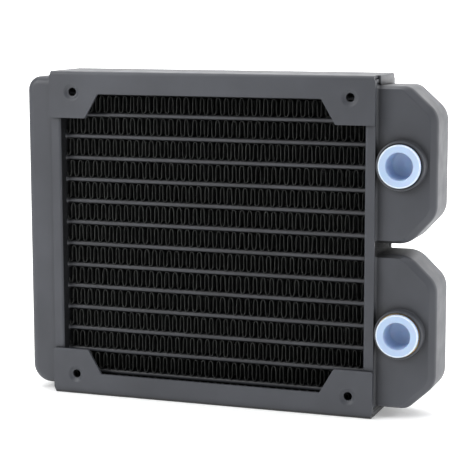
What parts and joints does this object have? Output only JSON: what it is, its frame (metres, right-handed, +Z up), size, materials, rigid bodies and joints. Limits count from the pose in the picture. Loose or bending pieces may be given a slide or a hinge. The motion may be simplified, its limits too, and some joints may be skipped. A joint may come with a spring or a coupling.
{
  "type": "liquid cooling radiator",
  "caption": "Slim black liquid cooling radiator for a 120 mm fan: flat-tube and fin core in folded side channels, end tanks, and threaded ports closed by pull-out plastic plugs.",
  "frame": {"origin": "centre of the bounding box in plan, on the underside that the radiator stands on", "axes": "+X along the water tubes towards the port tanks, -Y out of the face that the ports are on, +Z up across the tubes"},
  "size_m": [0.1552, 0.028, 0.12],
  "materials": {
    "radiator_paint": "satin black paint",
    "core_paint": "thin satin black paint on foil",
    "port_brass": "bare turned brass on the sealing face, black paint outside",
    "plug_plastic": "soft translucent pale blue"
  },
  "bodies": {
    "radiator": {"side_channel_top": "radiator_paint", "side_channel_bottom": "radiator_paint", "tube_plate_left": "radiator_paint", "tube_plate_right": "radiator_paint", "return_tank": "radiator_paint", "inlet_tank": "radiator_paint", "outlet_tank": "radiator_paint", "flat_tube_01": "radiator_paint", "flat_tube_02": "radiator_paint", "flat_tube_03": "radiator_paint", "flat_tube_04": "radiator_paint", "flat_tube_05": "radiator_paint", "flat_tube_06": "radiator_paint", "flat_tube_07": "radiator_paint", "flat_tube_08": "radiator_paint", "flat_tube_09": "radiator_paint", "flat_tube_10": "radiator_paint", "flat_tube_11": "radiator_paint", "flat_tube_12": "radiator_paint", "flat_tube_13": "radiator_paint", "flat_tube_14": "radiator_paint", "fin_strip_01": "core_paint", "fin_strip_02": "core_paint", "fin_strip_03": "core_paint", "fin_strip_04": "core_paint", "fin_strip_05": "core_paint", "fin_strip_06": "core_paint", "fin_strip_07": "core_paint", "fin_strip_08": "core_paint", "fin_strip_09": "core_paint", "fin_strip_10": "core_paint", "fin_strip_11": "core_paint", "fin_strip_12": "core_paint", "fin_strip_13": "core_paint", "fin_strip_14": "core_paint", "fin_strip_15": "core_paint", "inlet_port_bushing": "port_brass", "outlet_port_bushing": "port_brass"},
    "inlet_plug": {"inlet_transit_plug": "plug_plastic"},
    "outlet_plug": {"outlet_transit_plug": "plug_plastic"}
  },
  "joints": [
    {"name": "inlet_plug_pull", "type": "slide", "parent": "radiator", "child": "inlet_plug", "axis": [0, -1, 0], "range_m": [0, 0.016]},
    {"name": "outlet_plug_pull", "type": "slide", "parent": "radiator", "child": "outlet_plug", "axis": [0, -1, 0], "range_m": [0, 0.016]}
  ]
}
